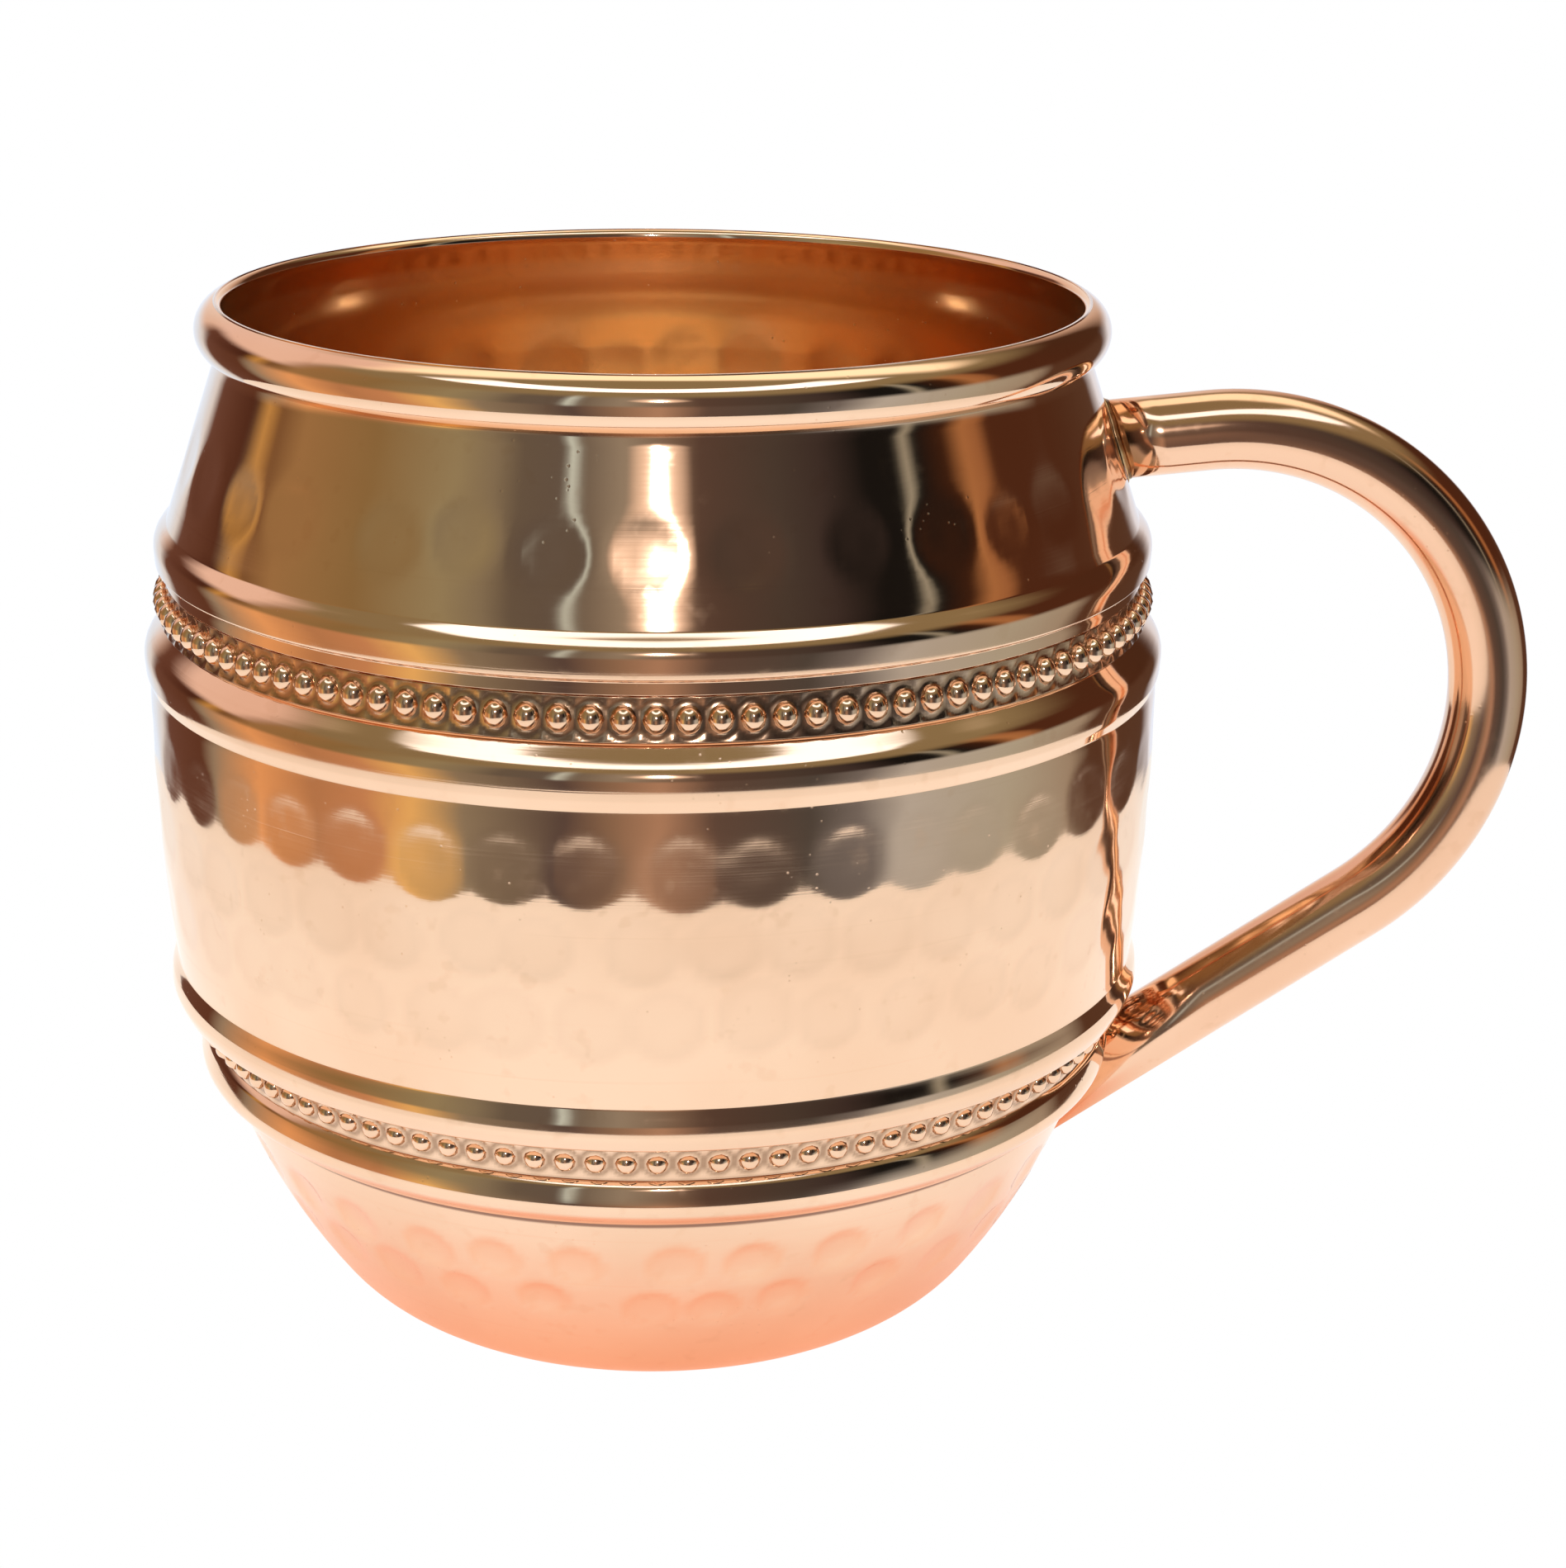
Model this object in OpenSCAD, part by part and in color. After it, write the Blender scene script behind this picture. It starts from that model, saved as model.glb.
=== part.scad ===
// Hammered barrel mug in copper, with two beaded bands and a tube handle.
// Millimetres, +Z up. The origin is the centre of the flat base, on the mug's own axis;
// the handle stands out along +X. Each module below is one separate physical piece.

/* [Barrel] */
// Radius of the barrel at its widest
belly_radius = 47.5; // [44:0.1:58]
// Height of the widest place above the table
belly_height = 58.9; // [54:0.1:63]
// Radius of the long curve that the barrel's side follows up and down
belly_curve = 207; // [150:1:300]
// Thickness of the copper sheet
wall = 0.9; // [0.6:0.05:1.1]

/* [Bowl] */
// Radius of the long curve of the bowl under the lower band
bowl_curve = 64.4; // [60:0.1:72]
// Thickness of the barrel's edge where it covers the bowl's edge
skirt_edge = 0.75; // [0.5:0.05:1]
// Height of the centre of the bowl's long curve
bowl_curve_height = 43.7; // [40:0.1:47]
// Radius of the knuckle that turns the bowl into the base
knuckle = 14; // [9:0.1:17]
// Height of the seam where the bowl is let into the barrel
seam_height = 23.8; // [23:0.1:25]
// How far the bowl's edge reaches up inside the barrel
lap = 1.6; // [1:0.1:2.2]

/* [Neck and rim] */
// Outside radius of the neck just under the rim
neck_radius = 40.3; // [38:0.1:41.5]
// Height of the mug to the top of the rim
mug_height = 97.85; // [94:0.05:117.4]
// How far the neck's foot lies inside the barrel's long curve
shoulder_inset = 0.77; // [0.4:0.01:1.2]
// Radius of the rolled rim
rim_roll = 2.65; // [2.2:0.05:3.2]
// Slit between the turned-down edge of the rim and the neck
rim_slit = 0.15; // [0.1:0.05:0.3]

/* [Beaded bands] */
// Height of the lower row of beads
lower_band_height = 30.2; // [29.6:0.1:31]
// Height of the upper row of beads
upper_band_height = 70.5; // [68:0.1:73]
// Width of each beaded strip
strip_width = 3.8; // [3.2:0.1:4.2]
// Thickness of each beaded strip between its beads
strip_thickness = 0.5; // [0.4:0.05:0.6]
// Depth of the strip's face under the ridges on both sides of it
channel_depth = 1.22; // [1:0.02:1.4]
// Hair of solder between pieces that are soldered together
solder_gap = 0.05; // [0.02:0.01:0.1]

/* [Beads] */
// Diameter of the beads in the upper row
upper_bead = 2.3; // [1.8:0.1:2.5]
// Diameter of the beads in the lower row
lower_bead = 2.0; // [1.6:0.1:2.4]
// How far the upper beads stand out of their strip
upper_bead_proud = 0.92; // [0.6:0.02:1.1]
// How far the lower beads stand out of their strip
lower_bead_proud = 0.72; // [0.5:0.02:0.9]
// Distance from one bead to the next, before it is rounded to a whole number
bead_pitch = 2.67; // [2.6:0.01:4]

/* [Ridges] */
// Rounding of the two ridges beside the upper row
upper_ridge_round = 3.2; // [2.8:0.1:3.8]
// Rise of the ridge under the upper row out of the barrel
upper_ridge_rise = 0.55; // [0.3:0.05:0.8]
// Rise of the ridge over the upper row out of the neck
neck_ridge_rise = 0.5; // [0.3:0.05:0.8]
// Distance from the upper row to the middle of the ridge on each side
upper_ridge_offset = 5; // [4.6:0.1:5.4]
// Rounding of the ridge over the lower row
lower_ridge_round = 3.8; // [3.4:0.1:4.4]
// Rise of the ridge over the lower row out of the barrel
lower_ridge_rise = 0.82; // [0.5:0.02:1]
// Distance from the lower row up to the middle of its upper ridge
lower_ridge_offset = 4.3; // [4:0.1:4.8]
// Rounding of the skirt ridge that covers the seam
skirt_round = 4; // [3.6:0.1:4.4]
// How far the skirt ridge's crest lies inside the barrel's long curve
skirt_inset = 0.6; // [0.2:0.05:1]
// Distance from the lower row down to the middle of the skirt ridge
skirt_offset = 3.2; // [2.8:0.1:3.4]

/* [Handle] */
// Outside diameter of the handle's tube
tube_diameter = 7.53; // [6:0.05:9.5]
// Thickness of the tube's wall
tube_wall = 1; // [0.7:0.05:1.4]
// Height where the tube's centre line leaves the neck
upper_joint_height = 84.1; // [82.5:0.1:86]
// Angle at which the tube rises out of the neck, in degrees
rise_angle = 5.8; // [0:0.1:12]
// Straight run of tube before the bend
upper_run = 8.8; // [4:0.1:16]
// Radius of the bend, to the tube's centre line
bend_radius = 25.9; // [21:0.1:32]
// Height where the tube's centre line comes back to the bowl
lower_joint_height = 18.4; // [14:0.1:21]
// Size of the braze that runs around each end of the tube
braze_size = 0.6; // [0.4:0.05:1]

/* [Hidden] */
$fn = 96;
copper = [0.87, 0.55, 0.42];
beading = [0.84, 0.53, 0.41];
brazing = [0.80, 0.55, 0.33];
deep = 200;
sliver = 0.01;
// The straight lengths of tube are a hair stouter than the bend and overlap its ends
hair = 0.01;
overlap = 0.2;

// Radius of the barrel's outside at a height
function barrel_at(z) = belly_radius - belly_curve + sqrt(pow(belly_curve, 2) - pow(z - belly_height, 2));

// The skirt ridge, whose edge covers the edge of the bowl
skirt_height = lower_band_height - skirt_offset;
skirt_radius = barrel_at(skirt_height) - skirt_inset;
skirt_drop = skirt_round - sqrt(pow(skirt_round, 2) - pow(skirt_height - seam_height, 2));

// The bowl's long curve passes just inside that edge
bowl_seam_radius = skirt_radius - skirt_drop - skirt_edge;
bowl_centre = bowl_seam_radius - sqrt(pow(bowl_curve, 2) - pow(seam_height - bowl_curve_height, 2));
function bowl_at(z) = bowl_centre + sqrt(pow(bowl_curve, 2) - pow(z - bowl_curve_height, 2));

// The knuckle touches the base plane and runs smoothly into the long curve
knuckle_reach = bowl_curve - knuckle;
knuckle_centre = bowl_centre + sqrt(pow(knuckle_reach, 2) - pow(bowl_curve_height - knuckle, 2));
knuckle_end = atan2(knuckle - bowl_curve_height, knuckle_centre - bowl_centre);
knuckle_steps = 14;
curve_steps = 12;

// Rim and neck
rim_height = mug_height - rim_roll;
rim_inner = neck_radius - wall;
neck_top = rim_height - rim_roll;
neck_ridge_height = upper_band_height + upper_ridge_offset;
shoulder_radius = barrel_at(neck_ridge_height) - shoulder_inset;
neck_lean = (shoulder_radius - neck_radius) / (neck_top - neck_ridge_height);
function neck_at(z) = neck_radius + (neck_top - z) * neck_lean;

// Heights and radii of the other ridges' crests, from the table up
lower_ridge_height = lower_band_height + lower_ridge_offset;
lower_ridge_radius = barrel_at(lower_ridge_height) + lower_ridge_rise;
upper_ridge_height = upper_band_height - upper_ridge_offset;
upper_ridge_radius = barrel_at(upper_ridge_height) + upper_ridge_rise;
neck_ridge_radius = shoulder_radius + neck_ridge_rise;

// Face of each strip: a line parallel to the one from crest to crest
lower_slope = (lower_ridge_radius - skirt_radius) / (lower_ridge_height - skirt_height);
upper_slope = (neck_ridge_radius - upper_ridge_radius) / (neck_ridge_height - upper_ridge_height);
function lower_face_at(z) = skirt_radius + lower_slope * (z - skirt_height) - channel_depth;
function upper_face_at(z) = upper_ridge_radius + upper_slope * (z - upper_ridge_height) - channel_depth;
channel_half = strip_width / 2 + solder_gap;
floor_depth = strip_thickness + solder_gap;

// How much further a wall of a given thickness reaches along a level line when it leans
function slant(slope) = sqrt(1 + pow(slope, 2));

// Handle: a straight run, one bend, and a run that leaves the bend towards the bowl
tube_radius = tube_diameter / 2;
bore_radius = tube_radius - tube_wall;
joint_x = neck_at(upper_joint_height);
bend_start = [joint_x + upper_run * cos(rise_angle), upper_joint_height + upper_run * sin(rise_angle)];
bend_centre = bend_start + bend_radius * [sin(rise_angle), -cos(rise_angle)];
lower_joint = [bowl_at(lower_joint_height), lower_joint_height];
to_joint = lower_joint - bend_centre;
joint_distance = norm(to_joint);
bend_end_angle = atan2(to_joint[1], to_joint[0]) + acos(bend_radius / joint_distance);
bend_start_angle = 90 + rise_angle;
lower_run = sqrt(pow(joint_distance, 2) - pow(bend_radius, 2));
// Length of tube that starts inside the wall, so that the wall's own shape can cut its end
tube_bite = tube_diameter;

// A part of the section that lies between two heights
module between(low, high) {
    intersection() {
        translate([0, low]) square([deep, high - low]);
        children();
    }
}

// Filled section under a straight line from one radius and height to another
module straight_side(low, low_radius, high, high_radius) {
    polygon([[0, low], [low_radius, low], [high_radius, high], [0, high]]);
}

// Filled section of one rounded ridge, cut off at the edge of its channel
module ridge(crest_radius, crest_height, rounding, inset, low, high) {
    half = rounding - inset;
    between(low, high) {
        translate([crest_radius - rounding, crest_height]) circle(r = half);
        translate([0, crest_height - half]) square([crest_radius - rounding, 2 * half]);
    }
}

// Filled section of the channel that a strip lies in
module channel_floor(low, high, low_radius, high_radius, inset) {
    depth = floor_depth + inset * slant((high_radius - low_radius) / (high - low));
    straight_side(low, low_radius - depth, high, high_radius - depth);
}

// Filled section of the whole barrel, smaller than the outside by the inset all round
module barrel_outline(inset) {
    skirt_top = lower_band_height - channel_half - inset;
    lower_ridge_foot = lower_band_height + channel_half + inset;
    upper_ridge_top = upper_band_height - channel_half - inset;
    neck_ridge_foot = upper_band_height + channel_half + inset;
    ridge(skirt_radius, skirt_height, skirt_round, inset, seam_height - lap, skirt_top);
    channel_floor(skirt_height, lower_ridge_height, lower_face_at(skirt_height),
        lower_face_at(lower_ridge_height), inset);
    ridge(lower_ridge_radius, lower_ridge_height, lower_ridge_round, inset,
        lower_ridge_foot, belly_height);
    between(lower_ridge_height, upper_ridge_height)
        translate([belly_radius - belly_curve, belly_height]) circle(r = belly_curve - inset, $fn = 720);
    ridge(upper_ridge_radius, upper_ridge_height, upper_ridge_round, inset,
        belly_height, upper_ridge_top);
    channel_floor(upper_ridge_height, neck_ridge_height, upper_face_at(upper_ridge_height),
        upper_face_at(neck_ridge_height), inset);
    ridge(neck_ridge_radius, neck_ridge_height, upper_ridge_round, inset,
        neck_ridge_foot, neck_top);
    neck_inset = inset * slant(neck_lean);
    straight_side(neck_ridge_height, shoulder_radius - neck_inset, neck_top, neck_radius - neck_inset);
}

// Points along an arc in the section
function arc(centre, radius, from, to, steps) =
    [for (i = [0 : steps]) let (a = from + (to - from) * i / steps) centre + radius * [cos(a), sin(a)]];

// Filled section of the bowl, smaller than its outside by the inset all round
module bowl_outline(inset, top) {
    round = bowl_curve - inset;
    top_angle = asin((top - bowl_curve_height) / round);
    polygon(concat([[0, inset]],
        arc([knuckle_centre, knuckle], knuckle - inset, -90, knuckle_end, knuckle_steps),
        arc([bowl_centre, bowl_curve_height], round, knuckle_end, top_angle, curve_steps),
        [[0, top]]));
}

// Section of the rolled rim: a half round, hollow, with its edge turned down beside the neck
module rim_section() {
    difference() {
        intersection() {
            translate([rim_inner, rim_height]) circle(r = rim_roll);
            translate([rim_inner, neck_top]) square([2 * rim_roll, 2 * rim_roll]);
        }
        intersection() {
            translate([rim_inner, rim_height]) circle(r = rim_roll - wall);
            translate([neck_radius, neck_top]) square([rim_roll, 2 * rim_roll]);
        }
        translate([neck_radius, neck_top]) square([rim_slit, rim_roll]);
    }
    translate([rim_inner, neck_top - wall]) square([wall, rim_roll + wall]);
}

// Everything that the tube must stop against, grown by a margin
module mug_envelope(margin) {
    rotate_extrude() {
        between(0, mug_height) {
            barrel_outline(-margin);
            bowl_outline(-margin, seam_height + lap);
        }
        between(upper_band_height - channel_half, upper_band_height + channel_half)
            square([upper_face_at(upper_band_height) + upper_bead_proud + margin, mug_height]);
        between(lower_band_height - channel_half, lower_band_height + channel_half)
            square([lower_face_at(lower_band_height) + lower_bead_proud + margin, mug_height]);
    }
}

// Length of pipe from inside the wall at a joint out to the bend; a bore of none makes a rod
module straight_pipe(joint, angle, run, outside, bore) {
    reach = tube_bite + run + overlap;
    translate([joint[0], 0, joint[1]]) rotate([0, 90 - angle, 0]) translate([0, 0, -tube_bite])
        difference() {
            cylinder(r = outside, h = reach);
            if (bore > 0) translate([0, 0, -sliver]) cylinder(r = bore, h = reach + 2 * sliver);
        }
}

// The two straight lengths that meet the mug's walls
module upper_length(outside, bore) {
    straight_pipe([joint_x, upper_joint_height], rise_angle, upper_run, outside, bore);
}

module lower_length(outside, bore) {
    straight_pipe(lower_joint, bend_end_angle + 90, lower_run, outside, bore);
}

// The bend between them
module bend() {
    translate([bend_centre[0], 0, bend_centre[1]]) rotate([90, 0, 0]) rotate([0, 0, bend_end_angle])
        rotate_extrude(angle = bend_start_angle - bend_end_angle)
            translate([bend_radius, 0]) difference() {
                circle(r = tube_radius);
                circle(r = bore_radius);
            }
}

// Braze around one end of the tube: what is near both the tube and the wall
module braze_ring() {
    difference() {
        intersection() {
            children(0);
            mug_envelope(braze_size);
        }
        children(1);
        mug_envelope(solder_gap);
    }
}

// One beaded strip: a thin sloping band with a ring of round-backed beads rooted in it
module beaded_strip(height, low_face, high_face, bead, proud) {
    half = strip_width / 2;
    face = (low_face + high_face) / 2;
    root = face - strip_thickness / 2;
    count = floor(2 * PI * face / bead_pitch);
    bead_angle = 360 * bead / (2 * PI * face);
    rotate_extrude() polygon([
        [low_face - strip_thickness, height - half], [low_face, height - half],
        [high_face, height + half], [high_face - strip_thickness, height + half]]);
    for (i = [0 : count - 1])
        rotate([0, 0, (i + 0.5) * 360 / count])
            rotate_extrude(angle = bead_angle) intersection() {
                translate([face + proud - bead / 2, height]) circle(d = bead);
                translate([root, height - bead]) square([bead, 2 * bead]);
            }
}

// The barrel: one sheet, with its ridges and channels rolled in and its rim turned over
module barrel_body() {
    color(copper) rotate_extrude() {
        difference() {
            between(seam_height, neck_top) barrel_outline(0);
            barrel_outline(wall);
            bowl_outline(-solder_gap, seam_height + lap + solder_gap);
        }
        rim_section();
    }
}

// The bowl: the round bottom, let in behind the skirt ridge
module base_bowl() {
    color(copper) rotate_extrude() difference() {
        between(0, seam_height + lap) bowl_outline(0, seam_height + lap);
        bowl_outline(wall, seam_height + lap + sliver);
    }
}

// The strip of beads under the neck
module upper_beaded_strip() {
    color(beading) beaded_strip(upper_band_height, upper_face_at(upper_band_height - strip_width / 2),
        upper_face_at(upper_band_height + strip_width / 2), upper_bead, upper_bead_proud);
}

// The strip of beads above the bowl
module lower_beaded_strip() {
    color(beading) beaded_strip(lower_band_height, lower_face_at(lower_band_height - strip_width / 2),
        lower_face_at(lower_band_height + strip_width / 2), lower_bead, lower_bead_proud);
}

// The handle: one bent tube, both ends shaped to the walls they meet
module handle_tube() {
    color(copper) {
        difference() {
            upper_length(tube_radius + hair, bore_radius - hair);
            mug_envelope(solder_gap);
        }
        bend();
        difference() {
            lower_length(tube_radius + hair, bore_radius - hair);
            mug_envelope(solder_gap);
        }
    }
}

// Braze around the tube's upper end
module upper_braze() {
    color(brazing) braze_ring() {
        upper_length(tube_radius + braze_size, 0);
        upper_length(tube_radius + solder_gap, 0);
    }
}

// Braze around the tube's lower end
module lower_braze() {
    color(brazing) braze_ring() {
        lower_length(tube_radius + braze_size, 0);
        lower_length(tube_radius + solder_gap, 0);
    }
}

barrel_body();
base_bowl();
upper_beaded_strip();
lower_beaded_strip();
handle_tube();
upper_braze();
lower_braze();
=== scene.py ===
# %% [markdown]
# # A hammered copper mug, piece by piece
# The mug is a barrel of thin copper sheet with a separate round bowl let into its lower end, two
# beaded strips in rolled channels, and one bent tube for a handle, brazed on at both ends. Every
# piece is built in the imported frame, in metres, and stands for one node of the CAD model. The
# frame is loaded first, because all places and sizes below start from its boxes.

# %% Load the frame
import math
import random

import bmesh
import bpy
import numpy as np
from mathutils import Matrix, Vector


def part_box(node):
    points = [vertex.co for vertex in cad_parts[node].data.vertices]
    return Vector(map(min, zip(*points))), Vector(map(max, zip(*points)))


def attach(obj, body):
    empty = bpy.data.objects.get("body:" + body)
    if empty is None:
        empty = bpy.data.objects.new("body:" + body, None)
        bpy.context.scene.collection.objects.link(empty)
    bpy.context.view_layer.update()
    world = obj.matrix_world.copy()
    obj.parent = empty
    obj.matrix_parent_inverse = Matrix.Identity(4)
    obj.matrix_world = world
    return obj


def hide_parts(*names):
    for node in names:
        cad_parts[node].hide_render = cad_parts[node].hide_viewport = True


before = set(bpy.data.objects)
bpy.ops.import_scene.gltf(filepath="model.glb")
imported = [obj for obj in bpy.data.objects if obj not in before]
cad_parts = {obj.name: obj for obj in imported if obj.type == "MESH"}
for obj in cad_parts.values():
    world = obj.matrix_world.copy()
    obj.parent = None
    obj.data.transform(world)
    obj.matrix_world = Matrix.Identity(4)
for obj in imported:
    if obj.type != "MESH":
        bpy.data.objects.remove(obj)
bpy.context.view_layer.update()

MM = 0.001

# %% [markdown]
# ## Sizes that the frame gives
# A lathe-turned object is described by radii and heights. The barrel's box gives the height of
# the rim, the height of the seam and the widest radius, the strips' boxes give the height of each
# row of beads, and the tube's box gives the thickness and the reach of the handle. All of them
# are kept in millimetres, because an outline is easier to read that way, and are scaled once at
# the end.

# %% Radii and heights from the boxes
def box_mm(node):
    """Lowest and highest corner of a CAD node, in millimetres."""
    low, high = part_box(node)
    return low / MM, high / MM


barrel_low, barrel_high = box_mm("barrel_body")
seam_height, mug_height, widest = barrel_low.z, barrel_high.z, barrel_high.x
bowl_top = box_mm("base_bowl")[1].z
upper_low, upper_high = box_mm("upper_beaded_strip")
lower_low, lower_high = box_mm("lower_beaded_strip")
upper_row, lower_row = (upper_low.z + upper_high.z) / 2, (lower_low.z + lower_high.z) / 2
print(f"rim {mug_height:.2f}, seam {seam_height:.2f}, widest radius {widest:.2f}, "
      f"rows of beads at {lower_row:.2f} and {upper_row:.2f}")

# %% [markdown]
# ## Drawing an outline
# A rolled sheet has no sharp corners: every bend is an arc. So an outline is a short list of
# corners, each with the radius that rounds it, and a helper turns them into points. A second
# helper spins the outline round the mug's axis, which is what a spinning lathe does to the real
# sheet. Long stretches are divided first, so that the faces stay small enough to take hammer
# marks and clean reflections.

# %% Corners to points, points to a spun shell
ARC_STEP = math.radians(16)


def rounded(corners):
    """Points of an outline through (radius, height, rounding) corners, in millimetres."""
    points = []
    for i, (radius, height, rounding) in enumerate(corners):
        corner = Vector((radius, height))
        if not rounding or i in (0, len(corners) - 1):
            points.append(corner)
            continue
        back = (Vector(corners[i - 1][:2]) - corner).normalized()
        ahead = (Vector(corners[i + 1][:2]) - corner).normalized()
        half = back.angle(ahead) / 2
        centre = corner + (back + ahead).normalized() * rounding / math.sin(half)
        start = corner + back * rounding / math.tan(half) - centre
        end = corner + ahead * rounding / math.tan(half) - centre
        sweep = math.atan2(start.x * end.y - start.y * end.x, start.dot(end))
        steps = max(2, math.ceil(abs(sweep) / ARC_STEP))
        for step in range(steps + 1):
            points.append(centre + Matrix.Rotation(sweep * step / steps, 2) @ start)
    return points


def spaced(points, longest):
    """The same outline, divided until no stretch is longer than this, in millimetres."""
    result = [points[0]]
    for a, b in zip(points, points[1:]):
        parts = max(1, math.ceil((b - a).length / longest))
        result += [a.lerp(b, k / parts) for k in range(1, parts + 1)]
    return result


def face_outwards(bm):
    """Turns every face of a closed mesh outwards."""
    bmesh.ops.recalc_face_normals(bm, faces=bm.faces)
    if bm.calc_volume(signed=True) < 0:
        bmesh.ops.reverse_faces(bm, faces=bm.faces)


def spin_shell(points, steps, closed):
    """Spins an outline once round the Z axis and returns the bmesh, seams and poles merged."""
    bm = bmesh.new()
    ring = [bm.verts.new((p.x * MM, 0, p.y * MM)) for p in points]
    edges = [bm.edges.new(pair) for pair in zip(ring, ring[1:])]
    if closed:
        edges.append(bm.edges.new((ring[-1], ring[0])))
    bmesh.ops.spin(bm, geom=ring + edges, cent=(0, 0, 0), axis=(0, 0, 1), angle=math.tau,
                   steps=steps, use_merge=True)
    bmesh.ops.remove_doubles(bm, verts=bm.verts, dist=1e-7)
    face_outwards(bm)
    return bm


def make_piece(bm, name):
    """A smooth-shaded object from a finished bmesh, with its place in its mesh."""
    mesh = bpy.data.meshes.new(name)
    bm.to_mesh(mesh)
    bm.free()
    mesh.shade_smooth()
    piece = bpy.data.objects.new(name, mesh)
    bpy.context.scene.collection.objects.link(piece)
    print(f"{name}: {len(mesh.vertices)} vertices, {len(mesh.polygons)} faces")
    return piece


# %% [markdown]
# ## The barrel's side
# The side follows one long curve, widest a little above the middle. The neck is a plain cone
# above the upper row, and the rim is the sheet's own edge rolled outwards. Between them the smith
# has rolled four ridges, two beside each row of beads. Each ridge is gentle on the side away from
# its channel and tight where it turns down into the channel.

# %% The long curve, the neck and the channels
SHEET = 0.9
belly_radius = widest - 0.445
belly_height = 0.602 * mug_height
BELLY_CURVE = 207
NECK_LEAN = 0.338
RIM_ROLL = 2.65
neck_radius = 40.3
rim_inner = neck_radius - SHEET
rim_height = mug_height - RIM_ROLL
neck_top = rim_height - RIM_ROLL


def side_at(height):
    """Radius of the barrel's long curve."""
    return belly_radius - BELLY_CURVE + math.sqrt(BELLY_CURVE ** 2 - (height - belly_height) ** 2)


def neck_at(height):
    """Radius of the neck's cone."""
    return neck_radius + NECK_LEAN * (neck_top - height)


STRIP_HALF = 1.9
STRIP_THICK = 0.5
UPPER_FACE, UPPER_LEAN = 46.0, -0.17
LOWER_FACE, LOWER_LEAN = 44.2, 0.3
SOLDER = 0.05


def upper_bed(offset):
    """Radius under the upper strip at a height above or below its middle."""
    return UPPER_FACE + UPPER_LEAN * offset - STRIP_THICK - SOLDER


def lower_bed(offset):
    """Radius under the lower strip at a height above or below its middle."""
    return LOWER_FACE + LOWER_LEAN * offset - STRIP_THICK - SOLDER


print(f"belly {belly_radius:.2f} at {belly_height:.2f}, neck {neck_radius} at {neck_top:.2f}")

# %% The whole outer outline of the barrel, from the seam to the rim
bed_half = STRIP_HALF + SOLDER
side_low, side_high = lower_row + 5.9, upper_row - 7.4
skirt_corners = [
    (42.15, seam_height, 0), (42.85, seam_height, 0.12), (44.35, seam_height + 1.35, 1.3),
    (44.45, lower_row - 4.1, 1.4), (43.95, lower_row - 2.5, 0.8),
    (43.45, lower_row - bed_half - 0.03, 0.12), (lower_bed(-bed_half), lower_row - bed_half, 0.05)]
lower_ridge_corners = [
    (lower_bed(bed_half), lower_row + bed_half, 0.05), (46.4, lower_row + 2.05, 0.5),
    (46.9, lower_row + 3.3, 1.2), (46.75, lower_row + 4.5, 1.6),
    (side_at(side_low), side_low, 0.5)]
side_steps = 24
side_corners = [
    (side_at(z), z, 0) for z in
    (side_low + (side_high - side_low) * k / side_steps for k in range(1, side_steps))]
upper_ridge_corners = [
    (side_at(side_high), side_high, 0.5), (47.80, upper_row - 6.5, 1.0),
    (47.97, upper_row - 4.2, 2.3), (45.9, upper_row - bed_half - 0.2, 0.12),
    (upper_bed(-bed_half), upper_row - bed_half, 0.05)]
neck_ridge_corners = [
    (upper_bed(bed_half), upper_row + bed_half, 0.05), (45.75, upper_row + bed_half + 0.05, 0.1),
    (45.6, upper_row + 3.15, 0.2), (46.5, upper_row + 3.5, 0.3), (46.65, upper_row + 5.75, 2.0),
    (neck_at(upper_row + 7.2), upper_row + 7.2, 0.5)]
groove_low, groove_high = neck_top + 0.1, neck_top + 0.45
groove_corners = [(neck_at(groove_low), groove_low, 0), (neck_at(groove_low), groove_high, 0)]

roll_from, roll_to = math.radians(-64), math.radians(79)
roll_steps = 18
roll_corners = [
    (rim_inner + RIM_ROLL * math.cos(a), rim_height + RIM_ROLL * math.sin(a), 0) for a in
    (roll_from + (roll_to - roll_from) * k / roll_steps for k in range(roll_steps + 1))]
rim_lip = [(rim_inner - 0.02, mug_height + 0.02, 0.75), (rim_inner - 0.02, neck_top + 1, 0)]

outer = rounded(skirt_corners + lower_ridge_corners + side_corners + upper_ridge_corners
                + neck_ridge_corners + groove_corners + roll_corners + rim_lip)
print(len(outer), "points along the outside")

# %% [markdown]
# The inside is the same sheet seen from behind, so its outline repeats the outer one at one
# thickness of sheet, with the channels showing as soft steps. Less of it is seen, so it has fewer
# rings.

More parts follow.
